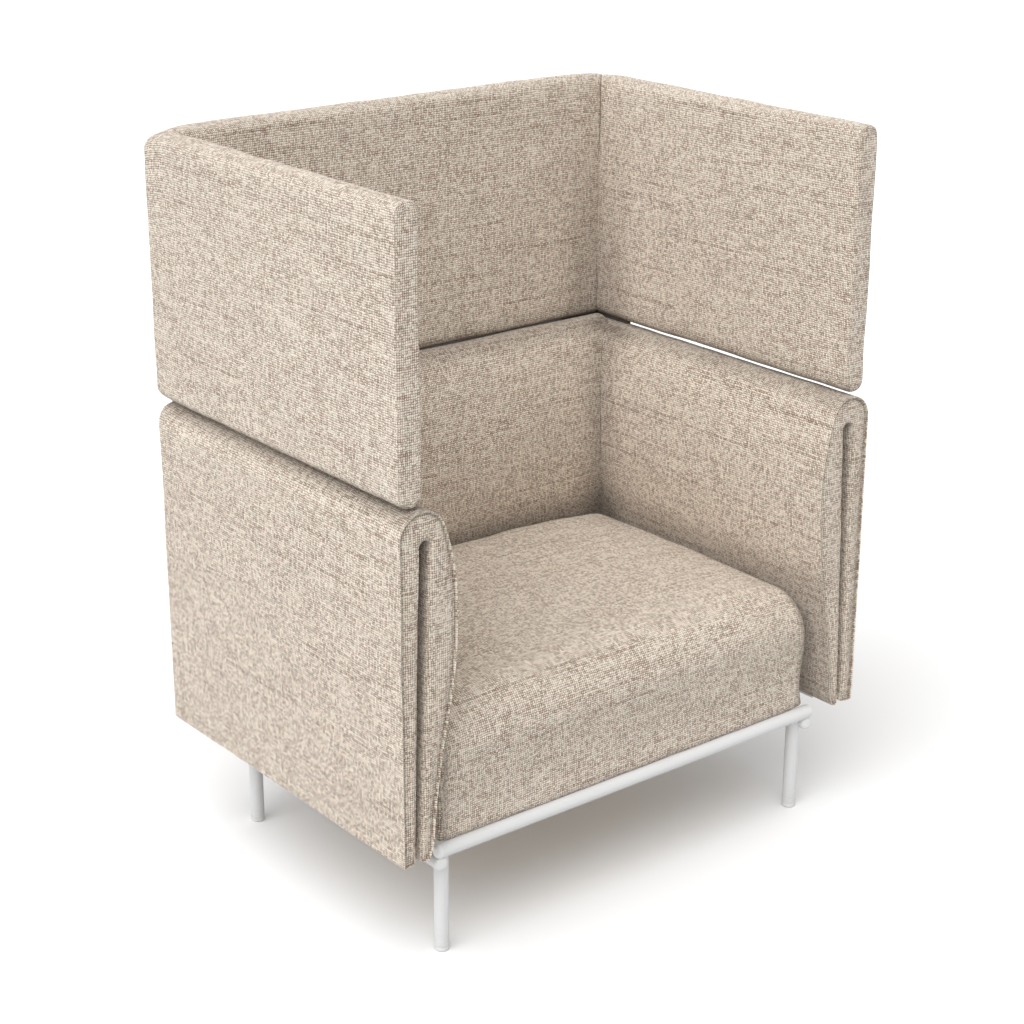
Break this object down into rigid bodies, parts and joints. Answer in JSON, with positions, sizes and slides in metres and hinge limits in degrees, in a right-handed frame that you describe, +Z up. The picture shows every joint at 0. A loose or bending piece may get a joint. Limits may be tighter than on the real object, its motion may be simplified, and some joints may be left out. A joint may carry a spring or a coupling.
{
  "type": "acoustic high back lounge chair",
  "caption": "Upholstered lounge chair with folded arm and back pads, a crowned seat, a U-shaped acoustic screen above them and a white tubular steel base.",
  "frame": {"origin": "on the floor, at the middle of the bounding box's bottom face", "axes": "+Z up, -Y towards the open front of the chair, +X to the right as seen from the front"},
  "size_m": [1.016, 0.72, 1.266],
  "materials": {
    "fabric": "coarse beige melange weave",
    "white_steel": "white powder coat, satin",
    "white_plastic": "moulded, satin",
    "plywood": "raw birch plywood",
    "zinc_steel": "zinc plated"
  },
  "bodies": {
    "root": {"arm_foot_bolts": "zinc_steel", "back_pad": "fabric", "back_screen_pad": "fabric", "back_sheet": "white_steel", "back_tube": "white_steel", "cross_rail_plugs": "white_plastic", "front_rail": "white_steel", "left_arm_feet": "white_steel", "left_arm_pad": "fabric", "left_arm_sheet": "white_steel", "left_arm_tube": "white_steel", "left_bearer": "white_steel", "left_front_glide": "white_plastic", "left_front_leg": "white_steel", "left_rear_glide": "white_plastic", "left_rear_leg": "white_steel", "left_screen_board": "plywood", "left_screen_pad": "fabric", "left_screen_post": "white_steel", "left_side_rail": "white_steel", "middle_bearer": "white_steel", "post_foot_bolts": "zinc_steel", "rear_rail": "white_steel", "right_arm_feet": "white_steel", "right_arm_pad": "fabric", "right_arm_sheet": "white_steel", "right_arm_tube": "white_steel", "right_bearer": "white_steel", "right_front_glide": "white_plastic", "right_front_leg": "white_steel", "right_rear_glide": "white_plastic", "right_rear_leg": "white_steel", "right_screen_board": "plywood", "right_screen_pad": "fabric", "right_screen_post": "white_steel", "right_side_rail": "white_steel", "screen_back_board": "plywood", "screen_band": "white_steel", "screen_corner_screws": "zinc_steel", "screen_post_screws": "zinc_steel", "screen_rest_blocks": "fabric", "seat_board": "plywood", "seat_cushion": "fabric", "seat_screws": "zinc_steel", "side_rail_plugs": "white_plastic"}
  },
  "joints": []
}
